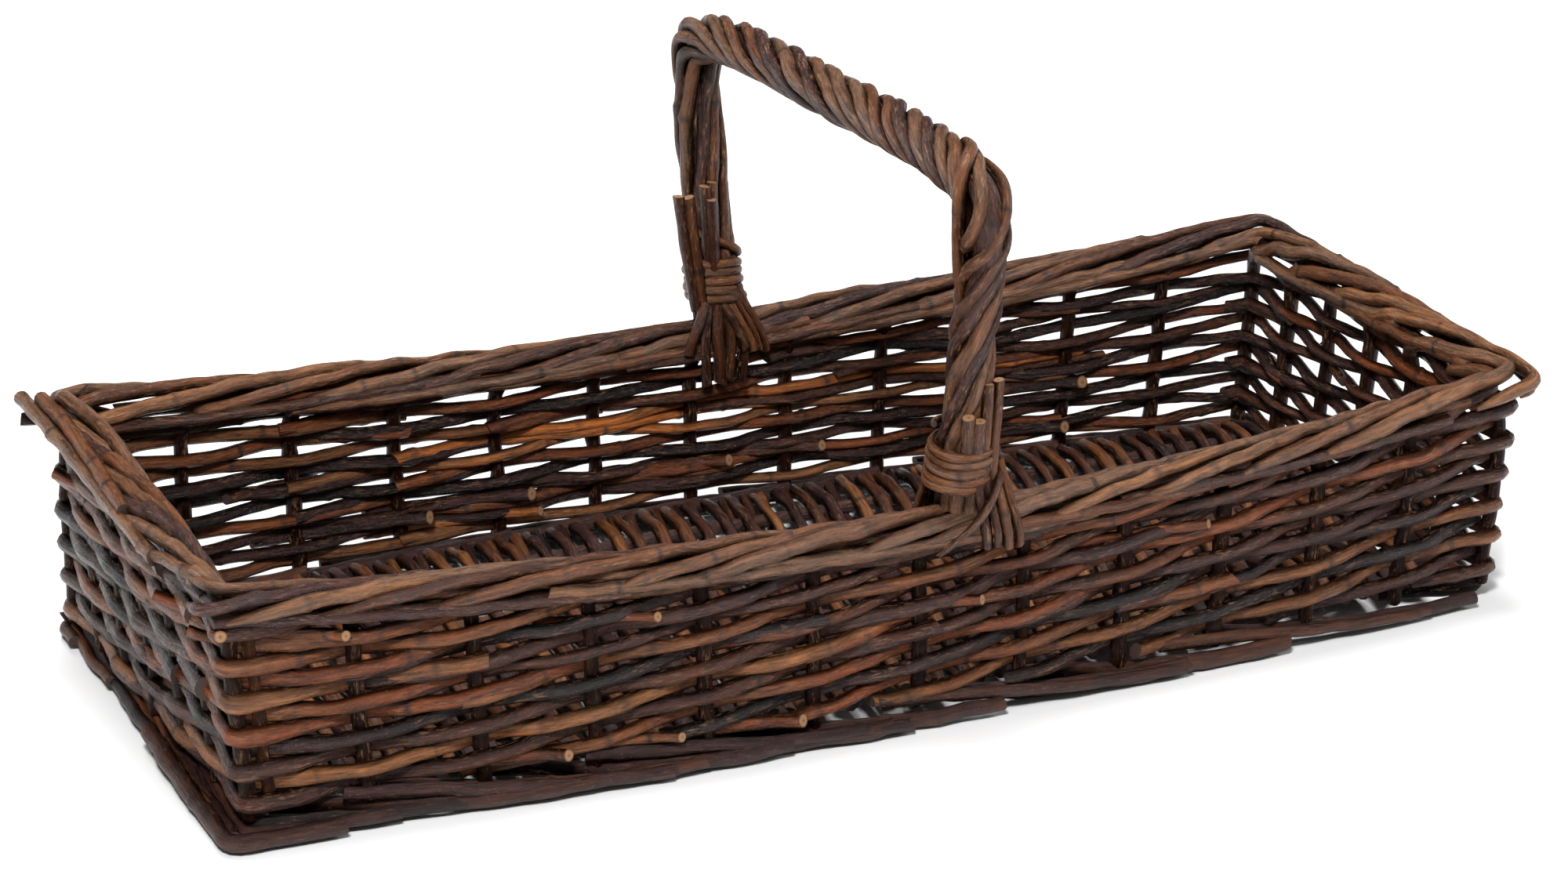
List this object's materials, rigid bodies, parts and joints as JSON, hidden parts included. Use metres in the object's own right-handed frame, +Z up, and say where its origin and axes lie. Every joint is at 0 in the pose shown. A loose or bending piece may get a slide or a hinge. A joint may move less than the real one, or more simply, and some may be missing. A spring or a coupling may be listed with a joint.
{
  "type": "trug garden basket",
  "caption": "Low rectangular trug basket of dark unpeeled willow rods with open randed walls, a rolled border and one fixed hoop handle roped with rods.",
  "frame": {"origin": "on the ground under the centre of the basket's outline", "axes": "+X along the basket, +Y across it towards the back, +Z up"},
  "size_m": [0.601, 0.295, 0.2389],
  "materials": {
    "wall_willow": "satin bark",
    "border_willow": "satin bark",
    "base_willow": "satin bark",
    "foot_willow": "satin bark",
    "handle_willow": "satin bark"
  },
  "bodies": {
    "root": {"back_foot_border": "foot_willow", "back_handle_lashing": "handle_willow", "back_handle_ties": "handle_willow", "back_laid_in_border_rods": "border_willow", "back_stakes_and_border": "border_willow", "back_weave": "wall_willow", "base_cross_rods": "base_willow", "base_long_sticks": "base_willow", "end_corner_posts": "border_willow", "front_foot_border": "foot_willow", "front_handle_lashing": "handle_willow", "front_handle_ties": "handle_willow", "front_laid_in_border_rods": "border_willow", "front_stakes_and_border": "border_willow", "front_weave": "wall_willow", "handle_bow": "handle_willow", "handle_roping": "handle_willow", "left_foot_border": "foot_willow", "left_laid_in_border_rods": "border_willow", "left_stakes_and_border": "border_willow", "left_weave": "wall_willow", "right_foot_border": "foot_willow", "right_laid_in_border_rods": "border_willow", "right_stakes_and_border": "border_willow", "right_weave": "wall_willow"}
  },
  "joints": []
}
